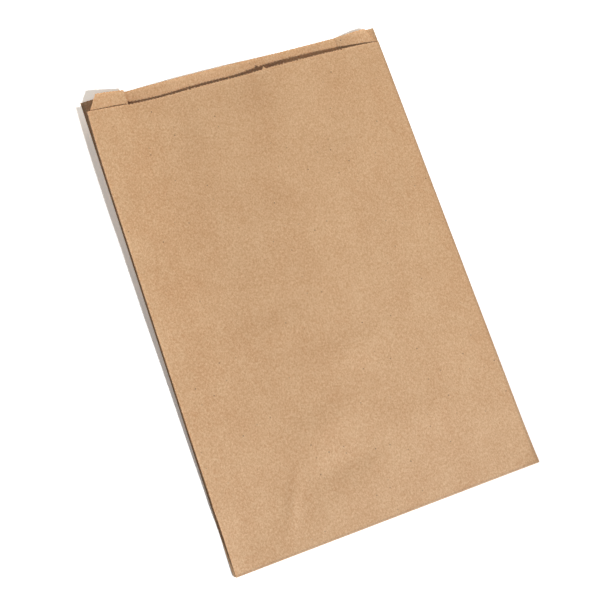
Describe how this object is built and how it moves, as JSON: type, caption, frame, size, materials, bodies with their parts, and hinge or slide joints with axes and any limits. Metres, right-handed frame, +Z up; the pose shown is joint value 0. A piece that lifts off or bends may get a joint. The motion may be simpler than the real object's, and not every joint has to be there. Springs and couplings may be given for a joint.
{
  "type": "paper pizza bag",
  "caption": "Flat brown kraft paper pizza bag with inward side gussets, a longer back lip at the open toothed mouth and a turned-under pasted bottom, lying on its back.",
  "frame": {"origin": "on the surface that the bag lies on, under the middle of its outline", "axes": "+Y along the bag from the closed bottom to the open mouth, +X to the right seen from above the front panel, +Z up out of the front panel"},
  "size_m": [0.3048, 0.4632, 0.0153],
  "materials": {
    "kraft_paper": "matte unbleached kraft paper with fine fibres and specks"
  },
  "bodies": {
    "root": {"paper_bag": "kraft_paper"}
  },
  "joints": []
}
